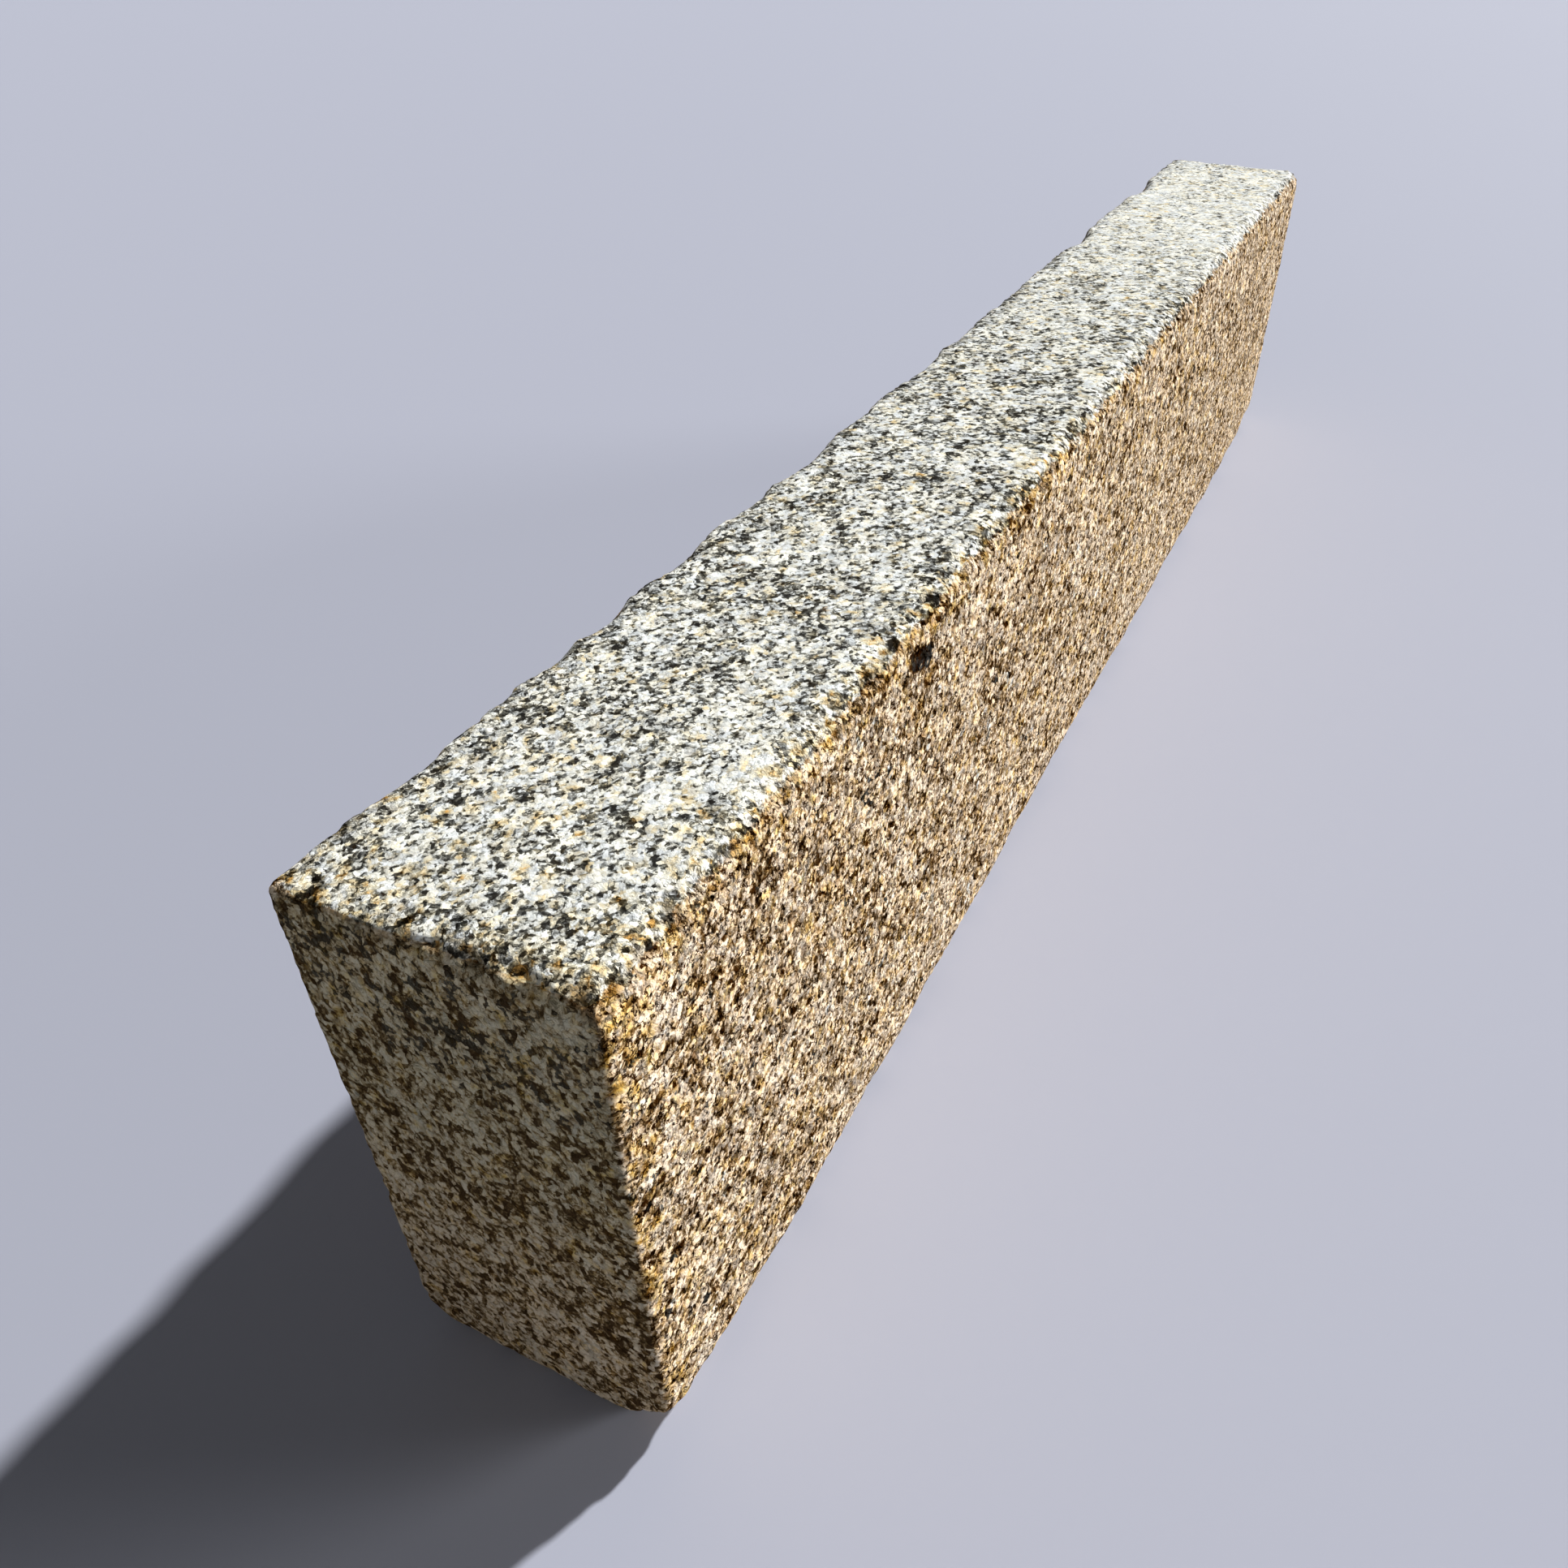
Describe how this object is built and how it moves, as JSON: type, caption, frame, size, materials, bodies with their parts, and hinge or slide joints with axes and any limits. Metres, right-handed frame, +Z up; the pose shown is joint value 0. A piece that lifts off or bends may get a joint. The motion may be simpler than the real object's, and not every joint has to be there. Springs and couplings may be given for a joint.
{
  "type": "granite kerb stone",
  "caption": "Long hewn granite kerb stone of rectangular section, with worn arrises and a flat bed, set on edge to border a road or path.",
  "frame": {"origin": "middle of the bed, on the ground", "axes": "+X along the stone from the near end to the far end, -Y out of the front face, +Z up from the bed to the head"},
  "size_m": [1, 0.1038, 0.2025],
  "materials": {
    "granite": "bush-hammered and weathered medium-grained granite: cream feldspar, grey quartz, black biotite and ochre iron stain"
  },
  "bodies": {
    "root": {"kerb_stone": "granite"}
  },
  "joints": []
}
